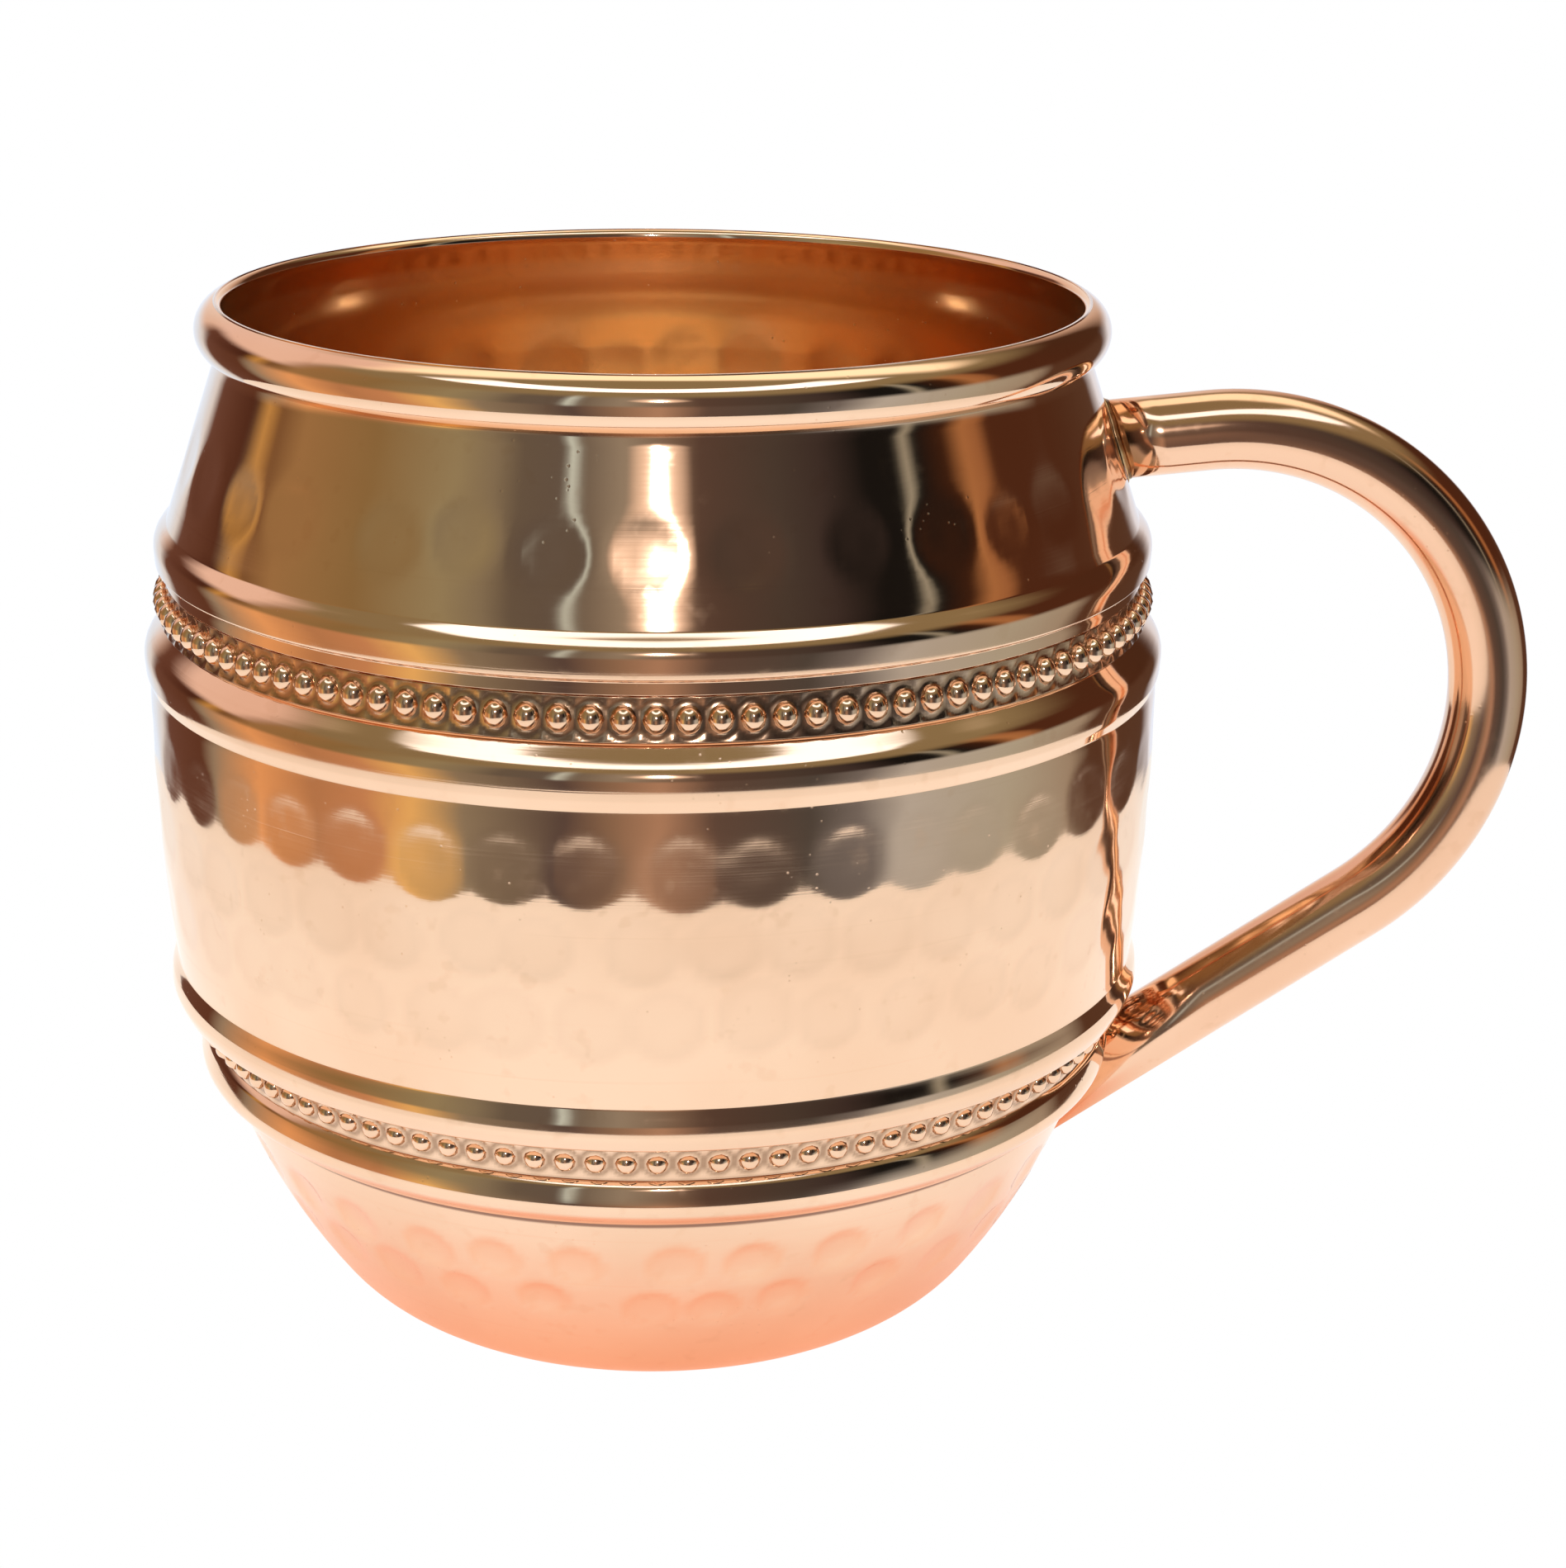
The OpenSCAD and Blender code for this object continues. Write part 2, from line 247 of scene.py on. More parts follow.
# %% The inner outline, and the spun barrel
inner = rounded([
    (rim_inner - 0.02, neck_top + 1, 0), (rim_inner - 0.02, neck_top - 1.5, 11),
    (neck_at(upper_row + 14.5) - SHEET, upper_row + 14.5, 8),
    (neck_at(upper_row + 8.0) - SHEET, upper_row + 8.0, 1.5), (45.5, upper_row + 5.2, 1.2),
    (upper_bed(bed_half) - SHEET, upper_row + bed_half + 1, 0.4),
    (upper_bed(-bed_half) - SHEET, upper_row - bed_half, 0.6),
    (47.0, upper_row - 5.2, 1.0), (side_at(side_high) - SHEET, side_high, 1.0)]
    + [(radius - SHEET, height, 0) for radius, height, _ in reversed(side_corners)]
    + [(side_at(side_low) - SHEET, side_low, 0.5), (45.8, lower_row + 4.2, 1.0),
       (lower_bed(bed_half) - SHEET, lower_row + bed_half, 0.5),
       (lower_bed(-bed_half) - SHEET, lower_row - bed_half, 0.5),
       (43.2, lower_row - 4.1, 1.0), (42.7, seam_height + 1.9, 0.3),
       (42.15, seam_height + 1.7, 0.1), (42.15, seam_height, 0)])
TURNS = 324
fine = [p for p in inner if p.y > upper_row + 6]
coarse = inner[len(fine) - 1:]
body_outline = spaced(outer, 0.88) + spaced(fine, 1.3)[1:] + spaced(coarse, 2.9)[1:-1]
barrel = make_piece(spin_shell(body_outline, TURNS, closed=True), "barrel")

# %% [markdown]
# ## The bowl
# The bottom is a second sheet, a round bowl whose edge slips up behind the barrel's skirt. Its
# outline is a flat disc, a knuckle that turns upwards, and one long curve. Both poles lie on the
# mug's axis and are merged after the spin.

# %% The bowl's outline, outside and inside
BOWL_CURVE = 64.4
KNUCKLE = 14
bowl_curve_height = 43.7
bowl_centre = 42.1 - math.sqrt(BOWL_CURVE ** 2 - (seam_height - bowl_curve_height) ** 2)
knuckle_centre = bowl_centre + math.sqrt(
    (BOWL_CURVE - KNUCKLE) ** 2 - (bowl_curve_height - KNUCKLE) ** 2)
knuckle_end = math.atan2(KNUCKLE - bowl_curve_height, knuckle_centre - bowl_centre)


def arc_points(centre, radius, start, end, steps):
    """Points along an arc in the outline's plane."""
    angles = [start + (end - start) * k / steps for k in range(steps + 1)]
    return [Vector((centre[0] + radius * math.cos(a), centre[1] + radius * math.sin(a)))
            for a in angles]


def bowl_side(inset):
    """The bowl's outline from the axis to its edge, moved inwards by the inset."""
    top_angle = math.asin((bowl_top - bowl_curve_height) / (BOWL_CURVE - inset))
    knuckle = arc_points((knuckle_centre, KNUCKLE), KNUCKLE - inset, -math.pi / 2, knuckle_end, 16)
    curve = arc_points((bowl_centre, bowl_curve_height), BOWL_CURVE - inset,
                       knuckle_end, top_angle, 12)
    return [Vector((0, inset))] + knuckle + curve[1:]


bowl_outline = spaced(bowl_side(0), 0.7) + spaced(bowl_side(SHEET)[::-1], 1.6)
bowl = make_piece(spin_shell(bowl_outline, TURNS, closed=False), "bowl")
print(f"flat disc radius {knuckle_centre:.1f}, "
      f"knuckle ends at {math.degrees(knuckle_end):.0f} degrees")

# %% [markdown]
# ## Hammer marks
# Each mark is one blow of a round-faced hammer: a shallow dish with a flattened middle, about 7
# mm across on the barrel and 6 mm on the bowl, and since the sheet is thin it shows on the inside
# too, as a soft boss. The marks stand in rows, but a hand sets them, so they wander a little and
# differ in depth. The dish is pressed into every vertex near the blow's own line, on both faces
# of the sheet, so the wall keeps its thickness. Each mark also gets painted shade, darker over the
# dish and most of all along its edge, and a little more roughness. The script notes this on each
# vertex as a number called shade, which the finish reads. The random numbers come from one seeded
# generator, and the mug is the same on every run.

# %% Press rows of marks into a spun piece
hand = random.Random(29)
FLATNESS = 3.6


def press(co, dull, azimuth, height, radius, tilt, width, depth):
    """Presses one dish into the vertices in co, in millimetres, and notes its painted shade in
    dull.
    """
    out = np.array([math.sin(azimuth), -math.cos(azimuth), 0.0])
    way = out * math.cos(tilt) + np.array([0, 0, math.sin(tilt)])
    centre = out * radius + np.array([0, 0, height])
    offset = co - centre
    along = offset @ way
    across = np.sqrt(np.maximum((offset ** 2).sum(1) - along ** 2, 0))
    near = (across < width / 2) & (np.abs(along) < 4)
    reach = across[near] / (width / 2)
    co[near] -= np.outer(depth * (1 - reach ** FLATNESS) ** 2, way)
    edge = np.exp(-((reach - 0.8) / 0.18) ** 2)
    # dull holds the mark's painted shade, darker over the dish and most along its edge, and drives
    # a little roughness too.
    dull[near] = np.maximum(dull[near], 0.5 * (1 - reach ** 8) + 0.5 * edge)


def hammer(piece, rows, painted_shade_strength):
    """Hammers rows of (height, radius, tilt, count, width, depth, turn), and notes their shade."""
    co = np.empty(len(piece.data.vertices) * 3)
    piece.data.vertices.foreach_get("co", co)
    co = co.reshape(-1, 3) / MM
    dull = np.zeros(len(co))
    for height, radius, tilt, count, width, depth, turn in rows:
        for k in range(count):
            wander = hand.gauss(0, 0.10)
            azimuth = math.tau * (k + turn + wander) / count
            rise = hand.gauss(0, 0.35)
            press(co, dull, azimuth, height + rise, radius, tilt,
                  width * hand.uniform(0.92, 1.06), depth * hand.uniform(0.75, 1.2))
    piece.data.vertices.foreach_set("co", (co * MM).ravel())
    shade = piece.data.attributes.new("shade", "FLOAT", "POINT")
    shade.data.foreach_set("value", dull * painted_shade_strength)
    piece.data.update()
    print(f"{piece.name}: {sum(row[3] for row in rows)} hammer marks")


def mark_inside(piece):
    """Notes on every vertex whether it is on the hollow side of the sheet, for the finish."""
    mesh = piece.data
    place, facing = np.empty(len(mesh.vertices) * 3), np.empty(len(mesh.vertices) * 3)
    mesh.vertices.foreach_get("co", place)
    mesh.vertices.foreach_get("normal", facing)
    place, facing = place.reshape(-1, 3), facing.reshape(-1, 3)
    away = np.maximum(np.hypot(place[:, 0], place[:, 1]), 1e-6)
    inwards = -(place[:, :2] * facing[:, :2]).sum(1) / away
    deep = place[:, 2] / MM < rim_height
    inside = ((inwards > 0.2) | (facing[:, 2] > 0.5) & (place[:, 2] < 0.01)) & deep
    mesh.attributes.new("inside", "FLOAT", "POINT").data.foreach_set("value", inside.astype(float))


def side_tilt(height):
    """How far the side's surface leans back at a height."""
    return math.asin((height - belly_height) / BELLY_CURVE)


def bowl_radius(height):
    """Radius of the bowl's long curve."""
    return bowl_centre + math.sqrt(BOWL_CURVE ** 2 - (height - bowl_curve_height) ** 2)


def bowl_tilt(height):
    """How far the bowl's surface leans at a height."""
    return math.asin((height - bowl_curve_height) / BOWL_CURVE)


NECK_COUNT, SIDE_COUNT, BOWL_COUNT = 33, 42, 31
NECK_DEPTH, SIDE_DEPTH, BOWL_DEPTH = 0.14, 0.085, 0.34
BARREL_MARK, BOWL_MARK = 7.2, 5.6
neck_row = upper_row + 13.1
side_rows = [belly_height - 1.2, belly_height - 8.0, belly_height - 15.2]
bowl_rows = [seam_height - 5.9, seam_height - 10.7]
barrel_marks = [(neck_row, neck_at(neck_row), math.atan(NECK_LEAN), NECK_COUNT,
                 BARREL_MARK, NECK_DEPTH, 0)]
barrel_marks += [(z, side_at(z), side_tilt(z), SIDE_COUNT, BARREL_MARK, SIDE_DEPTH, turn)
                 for z, turn in zip(side_rows, (0.2, 0.7, 0.2))]
bowl_marks = [(z, bowl_radius(z), bowl_tilt(z), BOWL_COUNT, BOWL_MARK, BOWL_DEPTH, turn)
              for z, turn in zip(bowl_rows, (0.2, 0.75))]
# The marks' painted shade is faint on the barrel. On the bowl it is strong and becomes a painted
# orange reflection.
hammer(barrel, barrel_marks, painted_shade_strength=0.10)
hammer(bowl, bowl_marks, painted_shade_strength=0.7)
for piece in (barrel, bowl):
    mark_inside(piece)

# %% [markdown]
# ## The beaded strips
# Each strip is a thin band with a row of beads pressed out of it. The band is spun from a small
# rectangle with softened edges, and a shallow ring is pressed into its face round each bead, as a
# beading punch leaves it. A bead is half of a small round ball with few faces, because there are
# more than a hundred in a row. It is cut flat and closed behind, and the flat side sits inside
# the band.

# %% A band, its beads, and the rings round them
BEAD_PITCH = 2.67
STEPS_PER_BEAD = 9
RING_GAP, RING_DEPTH = 0.22, 0.16


def add_bead(bm, azimuth, radius, height, width, tall, proud):
    """Adds one closed half bead that stands out of a band."""
    made = bmesh.ops.create_icosphere(bm, subdivisions=2, radius=0.5)
    turn = Matrix.Rotation(azimuth, 4, "Z")
    size = Matrix.Diagonal((width * MM, 2 * proud * 1.5 * MM, tall * MM, 1))
    place = Matrix.Translation((0, -(radius - 0.5 * proud) * MM, height * MM))
    verts = made["verts"]
    bmesh.ops.transform(bm, matrix=turn @ place @ size, verts=verts)
    edges = list({e for v in verts for e in v.link_edges})
    faces = list({f for v in verts for f in v.link_faces})
    out = Vector((math.sin(azimuth), -math.cos(azimuth), 0))
    cut = bmesh.ops.bisect_plane(bm, geom=verts + edges + faces, clear_outer=True, dist=1e-9,
                                 plane_co=out * (radius - 0.2) * MM, plane_no=-out)
    rim = [item for item in cut["geom_cut"] if isinstance(item, bmesh.types.BMEdge)]
    bmesh.ops.contextual_create(bm, geom=rim)


def beaded_strip(name, row, face, lean, width, tall, proud):
    """One band with its beads, as one piece."""
    count = round(math.tau * face / BEAD_PITCH)
    low, high = face - lean * STRIP_HALF, face + lean * STRIP_HALF
    bottom, top = row - STRIP_HALF, row + STRIP_HALF
    front = spaced(rounded([(low - 0.25, bottom, 0), (low, bottom, 0.12),
                            (high, top, 0.12), (high - 0.25, top, 0)]), 0.3)
    back = [Vector((high - STRIP_THICK, top)), Vector((low - STRIP_THICK, bottom))]
    bm = spin_shell(front + back, count * STEPS_PER_BEAD, closed=True)
    shade = bm.verts.layers.float.new("shade")
    for v in bm.verts:
        radius = math.hypot(v.co.x, v.co.y) / MM
        rise = v.co.z / MM - row
        if radius < face + lean * rise - 0.1:
            continue
        turns = math.atan2(v.co.x, -v.co.y) / math.tau * count
        aside = (turns - round(turns)) * BEAD_PITCH
        reach = math.hypot(aside / (width / 2 + RING_GAP), rise / (tall / 2 + RING_GAP))
        sink = RING_DEPTH * math.exp(-((reach - 1) / 0.2) ** 2)
        v.co.x *= 1 - sink / radius
        v.co.y *= 1 - sink / radius
        # Painted shade: the colour is darkened in the ring round each bead and along the band's top
        # and bottom edges.
        edge = math.exp(-((abs(rise) - STRIP_HALF) / 0.25) ** 2)
        v[shade] = min(1, sink / RING_DEPTH + 0.7 * edge)
    for k in range(count):
        add_bead(bm, math.tau * k / count, face, row, width, tall, proud)
    print(f"{name}: {count} beads")
    return make_piece(bm, name)


upper_strip = beaded_strip("upper_beaded_band", upper_row, UPPER_FACE, UPPER_LEAN,
                           width=2.35, tall=2.7, proud=0.92)
lower_strip = beaded_strip("lower_beaded_band", lower_row, LOWER_FACE, LOWER_LEAN,
                           width=2.05, tall=2.1, proud=0.7)

# %% [markdown]
# ## The handle
# The handle is one length of tube, bent round a former and shaped at each end to lie against the
# wall. A ring of points is pulled along the straight run, spun round the bend's centre, and
# pulled on to the bowl. The bore is made the same way with a smaller ring, and the ends are
# bridged, so the tube is hollow like the real one. The end rings slide along the tube's own line
# until they meet the wall.

# %% The handle's line, from the tube's box
tube_high = box_mm("handle_tube")[1]
TUBE_WALL = 1.0
BEND = 25.9
RISE = math.radians(5.8)
UPPER_RUN = 8.8
LOWER_JOINT_HEIGHT = 18.4
tube_radius = tube_high.y - 0.01
bend_centre = Vector((tube_high.x - tube_radius - BEND, 0, tube_high.z - tube_radius - BEND))
lower_joint = Vector((bowl_radius(LOWER_JOINT_HEIGHT), 0, LOWER_JOINT_HEIGHT))
to_joint = lower_joint - bend_centre
bend_end = math.atan2(to_joint.z, to_joint.x) + math.acos(BEND / to_joint.length)
sweep = math.pi / 2 + RISE - bend_end
lower_run = math.sqrt(to_joint.length ** 2 - BEND ** 2)
upper_way = Vector((math.cos(RISE), 0, math.sin(RISE)))
lower_way = Vector((-math.sin(bend_end), 0, math.cos(bend_end)))
bend_start = bend_centre + BEND * Vector((-math.sin(RISE), 0, math.cos(RISE)))
print(f"tube radius {tube_radius:.2f}, bend sweep {math.degrees(sweep):.0f} degrees, "
      f"centre {bend_centre.x:.1f}, {bend_centre.z:.1f}")

# %% Where a line along the tube meets the wall
wall_line = [p for p in outer if p.y < rim_height]
wall_line += [p for p in bowl_side(0) if p.y < seam_height]
wall_line.sort(key=lambda p: p.y)
wall_heights, wall_radii = np.array([p.y for p in wall_line]), np.array([p.x for p in wall_line])
CLEAR = 0.06
REACH = 16.0


def meet_wall(point, way):
    """The place where a line through the point, running outwards along way, leaves the wall."""
    near, far = -REACH, REACH
    for _ in range(40):
        middle = (near + far) / 2
        spot = point + way * middle
        gap = math.hypot(spot.x, spot.y) - np.interp(spot.z, wall_heights, wall_radii) - CLEAR
        near, far = (near, middle) if gap > 0 else (middle, far)
    return point + way * far


def across_tube(bm, centre, way, radius, sides):
    """A ring of points round the tube's line."""
    verts = bmesh.ops.create_circle(bm, segments=sides, radius=radius)["verts"]
    turn = Vector((0, 0, 1)).rotation_difference(way).to_matrix().to_4x4()
    bmesh.ops.transform(bm, matrix=Matrix.Translation(centre) @ turn, verts=verts)
    return verts


def edges_of(verts):
    """The edges that join these points to each other."""
    group = set(verts)
    return list({e for v in verts for e in v.link_edges if e.other_vert(v) in group})


def pull(bm, edges):
    """Pulls a ring of edges out by one more ring, still in the same place."""
    made = bmesh.ops.extrude_edge_only(bm, edges=edges)["geom"]
    verts = [item for item in made if isinstance(item, bmesh.types.BMVert)]
    return edges_of(verts), verts


# %% One skin of the tube, used for the outside and for the bore
TUBE_SIDES = 64
BEND_STEPS = 90


def tube_skin(bm, radius):
    """One skin of the tube from the neck to the bowl. Returns its two end rings of edges."""
    ring = across_tube(bm, bend_start - upper_way * UPPER_RUN, upper_way, radius, TUBE_SIDES)
    first = edges = edges_of(ring)
    for v in ring:
        v.co = meet_wall(v.co, upper_way)
    for share in (0.5, 1.0):
        edges, verts = pull(bm, edges)
        for v in verts:
            v.co += upper_way * (bend_start - v.co).dot(upper_way) * share
    turned = bmesh.ops.spin(bm, geom=edges, cent=bend_centre, axis=(0, 1, 0), angle=sweep,
                            steps=BEND_STEPS)
    edges = [item for item in turned["geom_last"] if isinstance(item, bmesh.types.BMEdge)]
    for _ in range(2):
        edges, verts = pull(bm, edges)
        bmesh.ops.translate(bm, vec=-lower_way * lower_run / 2, verts=verts)
    for v in verts:
        v.co = meet_wall(v.co, lower_way)
    return first, edges


bm = bmesh.new()
outside_ends, bore_ends = tube_skin(bm, tube_radius), tube_skin(bm, tube_radius - TUBE_WALL)
for outside_end, bore_end in zip(outside_ends, bore_ends):
    bmesh.ops.bridge_loops(bm, edges=outside_end + bore_end)
bmesh.ops.scale(bm, vec=(MM, MM, MM), verts=bm.verts)
face_outwards(bm)
print("open edges in the tube:", sum(not e.is_manifold for e in bm.edges))
handle = make_piece(bm, "handle")

# %% [markdown]
# ## The brazing
# Brass filler is melted into each joint and stays as a small hollow fillet round the end of the
# tube. Each fillet is a closed ring with four sides: up the tube, along the wall, and two that
# make its hollow face. Its size wanders a little, because molten filler never runs quite evenly.

# %% A fillet round one end of the tube
def fillet(name, centre, way, size):
    """A closed ring of filler between the tube and the wall."""
    bm = bmesh.new()
    waves = [(count, hand.uniform(0, math.tau), hand.uniform(0.03, 0.10)) for count in (2, 3, 5, 9)]
    rings = []
    for outwards, upwards in ((0.0, 1.0), (0.28, 0.34), (1.0, 0.0), (0.0, 0.0)):
        verts = across_tube(bm, centre, way, tube_radius + 0.03, TUBE_SIDES)
        for k, v in enumerate(verts):
            turn = math.tau * k / TUBE_SIDES
            wave = sum(high * math.sin(count * turn + shift) for count, shift, high in waves)
            swell = size * (1 + wave)
            line = centre + way * (v.co - centre).dot(way)
            v.co += (v.co - line).normalized() * outwards * swell
            v.co = meet_wall(v.co, way) + way * upwards * swell
        rings.append(edges_of(verts))
    for one, other in zip(rings, rings[1:] + rings[:1]):
        bmesh.ops.bridge_loops(bm, edges=one + other)
    bmesh.ops.scale(bm, vec=(MM, MM, MM), verts=bm.verts)
    face_outwards(bm)
    print(f"{name}: open edges {sum(not e.is_manifold for e in bm.edges)}")
    return make_piece(bm, name)


upper_fillet = fillet("upper_fillet", bend_start - upper_way * UPPER_RUN, upper_way, 0.4)
lower_fillet = fillet("lower_fillet", lower_joint, lower_way, 0.5)

# %% [markdown]
# ## A short way to write materials
# A material is a graph of nodes. To write one as plain arithmetic, a small class wraps a socket
# and turns +, -, * and / into Math nodes, and one method makes any other node.

# %% The wire class and the node method
class Wire:
    """One output socket that can be used in a formula."""

    def __init__(self, recipe, socket):
        self.recipe, self.socket = recipe, socket

    def math(self, operation, *others):
        """A Math node with this wire as its first value."""
        sockets = dict(enumerate((self,) + others))
        return self.recipe.node("ShaderNodeMath", {"operation": operation}, sockets)

    def __add__(self, other):
        return self.math("ADD", other)

    def __sub__(self, other):
        return self.math("SUBTRACT", other)

    def __mul__(self, other):
        return self.math("MULTIPLY", other)

    def __truediv__(self, other):
        return self.math("DIVIDE", other)

    __radd__, __rmul__ = __add__, __mul__

    def __rsub__(self, other):
        return self * -1 + other


class Recipe:
    """The node tree of one material, or of the room."""

    def __init__(self, tree):
        self.tree = tree
        tree.nodes.clear()

    def node(self, kind, settings=None, sockets=None, output=0):
        """Makes a node, sets it, fills or links its sockets, and returns one output as a wire."""
        made = self.tree.nodes.new(kind)
        for name, value in (settings or {}).items():
            setattr(made, name, value)
        for name, value in (sockets or {}).items():
            if isinstance(value, Wire):
                self.tree.links.new(value.socket, made.inputs[name])
            else:
                made.inputs[name].default_value = value
        return Wire(self, made.outputs[output]) if made.outputs else made

    def blend(self, share, a, b):
        """A colour that goes from a to b."""
        return self.node("ShaderNodeMix", {"data_type": "RGBA"}, {0: share, 6: a, 7: b}, output=2)

    def noise(self, place, scale, detail=3.0, output="Fac"):
        """Noise at a place."""
        return self.node("ShaderNodeTexNoise", {},
                         {"Vector": place, "Scale": scale, "Detail": detail}, output=output)

    def stretch(self, low, high, value, to_low=0.0, to_high=1.0):
        """Spreads a value's range from low and high to new ends, clamped and smooth."""
        return self.node("ShaderNodeMapRange", {"interpolation_type": "SMOOTHSTEP"},
                         {0: value, 1: low, 2: high, 3: to_low, 4: to_high})


# %% [markdown]
# ## Copper
# Copper takes its colour from the metal itself. On the lathe the mug was polished round and
# round, so fine scratches run round it, and they draw every lamp out into a streak down the wall.
# Handling and air leave cloudy darker patches, and small pits stay from the polish. All of this
# is noise in the object's own coordinates, with the scratches squeezed flat in height. The
# numbers noted on the vertices steer the rest: the hollow side is warmer and duller, and shade
# is painted shade, which darkens the hammer marks, the rings round the beads and the strips'
# edges and makes them a little rougher. On the bowl the marks are painted orange instead, a
# painted reflection of warm light. A thin stained line can run round the piece at one height.

# %% A copper finish
INSIDE_TONE = (0.96, 0.69, 0.43)
# The tone of the painted shade in the hammer marks and round the beads.
PAINTED_SHADE_TONE, STAIN_TONE = (0.30, 0.17, 0.10), (0.26, 0.13, 0.09)


def copper(name, tone, gloss, streak, scratch_way, pits, stain_height=0.0, painted_light_tone=PAINTED_SHADE_TONE):
    """Polished copper: cloudy tone, scratches one way, pits, and perhaps a stained line."""
    material = bpy.data.materials.new(name)
    material.use_nodes = True
    r = Recipe(material.node_tree)
    place = r.node("ShaderNodeTexCoord", output=3)
    inside = r.node("ShaderNodeAttribute", {"attribute_name": "inside"}, output="Fac")
    shade = r.node("ShaderNodeAttribute", {"attribute_name": "shade"}, output="Fac")
    squeezed = r.node("ShaderNodeVectorMath", {"operation": "MULTIPLY"}, {0: place, 1: scratch_way})
    cloud = r.stretch(0.35, 0.7, r.noise(place, 55.0))
    spots = r.stretch(0.60, 0.72, r.noise(place, 420.0, 2.0))
    scratches = r.noise(squeezed, 1.0, 2.0)
    deep = r.stretch(0.62, 0.78, r.noise(squeezed, 0.37, 3.0))
    specks = r.node("ShaderNodeTexVoronoi", {}, {"Vector": place, "Scale": 900.0},
                    output="Distance")
    pitted = r.stretch(0.55, 0.6, r.noise(place, 160.0))
    pit = r.stretch(0.02, 0.16, specks, 1.0, 0.0) * pitted * pits
    dull = tuple(share * step for share, step in zip(tone, (0.93, 0.88, 0.84))) + (1,)
    tarnish = tuple(share * step for share, step in zip(tone, (0.86, 0.78, 0.70))) + (1,)
    colour = r.blend(cloud * 0.7, tone + (1,), dull)
    colour = r.blend(spots * 0.25 + deep * 0.2 + pit * 0.5, colour, tarnish)
    height = r.node("ShaderNodeSeparateXYZ", {}, {0: place}, output="Z")
    stain = r.stretch(0.0001, 0.0004, (height - stain_height).math("ABSOLUTE"), 1.0, 0.0)
    colour = r.blend(inside * 0.9, colour, INSIDE_TONE + (1,))
    # Painted shade in the hammer marks, round the beads and along the strips' edges. On the bowl it
    # is a painted orange reflection in the marks.
    colour = r.blend(shade * 0.75, colour, painted_light_tone + (1,))
    colour = r.blend(stain * 0.9, colour, STAIN_TONE + (1,))
    roughness = (gloss + shade * 0.10 + cloud * 0.03 + scratches * 0.03 + spots * 0.03
                 + pit * 0.2 + inside * 0.13)
    relief = scratches * 0.3 - deep * 0.4 - pit * 1.0 + r.noise(place, 140.0, 1.0) * 1.2
    normal = r.node("ShaderNodeBump", {}, {"Strength": 0.22, "Distance": 0.00002, "Height": relief})
    shader = r.node("ShaderNodeBsdfPrincipled", {}, {
        "Base Color": colour, "Metallic": 1.0, "Roughness": roughness, "Normal": normal,
        "Anisotropic": streak, "Anisotropic Rotation": 0.25})
    r.node("ShaderNodeOutputMaterial", {}, {"Surface": shader})
    return material


ROUND_AND_ROUND = (40.0, 40.0, 5000.0)
EVERY_WAY = (700.0, 700.0, 700.0)
BODY_TONE, BOWL_TONE = (0.95, 0.66, 0.47), (0.95, 0.65, 0.46)
BEAD_TONE, HANDLE_TONE = (0.93, 0.64, 0.45), (0.91, 0.58, 0.40)
# The bowl's hammer marks are painted orange, a painted reflection of the warm light round the foot.
BOWL_MARK_PAINTED_REFLECTION = (0.93, 0.50, 0.30)
seam_line = (seam_height - 0.55) * MM
body_copper = copper("body copper", BODY_TONE, 0.04, 0.5, ROUND_AND_ROUND, 1.0)
bowl_copper = copper("bowl copper", BOWL_TONE, 0.06, 0.4, ROUND_AND_ROUND, 1.0,
                     stain_height=seam_line, painted_light_tone=BOWL_MARK_PAINTED_REFLECTION)
bead_copper = copper("bead copper", BEAD_TONE, 0.09, 0.0, EVERY_WAY, 0.6)
handle_copper = copper("handle copper", HANDLE_TONE, 0.085, 0.0, EVERY_WAY, 0.8)
print("stained line at", round(seam_line / MM, 2), "mm")

# %% [markdown]
# ## Brass filler
# The filler is a yellower metal than the sheet, and as it is never polished as far into the
# corner, it stays rougher and a little darker, with traces of flux.

# %% A brass finish
def brass(name):
    """Rough brass with darker traces."""
    material = bpy.data.materials.new(name)
    material.use_nodes = True
    r = Recipe(material.node_tree)
    place = r.node("ShaderNodeTexCoord", output=3)
    cloud = r.stretch(0.4, 0.65, r.noise(place, 500.0))
    grain = r.noise(place, 2500.0, 2.0)
    colour = r.blend(cloud, (0.90, 0.66, 0.36, 1), (0.55, 0.34, 0.18, 1))
    normal = r.node("ShaderNodeBump", {},
                    {"Strength": 0.5, "Distance": 0.00008, "Height": grain + cloud})
    shader = r.node("ShaderNodeBsdfPrincipled", {}, {
        "Base Color": colour, "Metallic": 1.0, "Roughness": 0.22 + grain * 0.2, "Normal": normal})
    r.node("ShaderNodeOutputMaterial", {}, {"Surface": shader})
    return material


braze_brass = brass("braze brass")

# %% [markdown]
# ## Putting the pieces in the frame
# Every piece takes its finish, rides on the mug's one body, and stands for its CAD node.

# %% Finish, body, node and slot of each piece
for piece, node, material, slot in (
        (barrel, "barrel_body", body_copper, "body_copper"),
        (bowl, "base_bowl", bowl_copper, "bowl_copper"),
        (upper_strip, "upper_beaded_strip", bead_copper, "bead_copper"),
        (lower_strip, "lower_beaded_strip", bead_copper, "bead_copper"),
        (handle, "handle_tube", handle_copper, "handle_copper"),
        (upper_fillet, "upper_braze", braze_brass, "braze_brass"),
        (lower_fillet, "lower_braze", braze_brass, "braze_brass")):
    piece.data.materials.append(material)
    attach(piece, "root")
    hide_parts(node)

# %% [markdown]
# ## The table
# A mirror shows what stands round it, so a polished mug needs its surroundings. The mug stands on
# a round white board, and the dark room starts a hand's width from the mug. Close to the foot the
# board is warm with light thrown down by the copper.

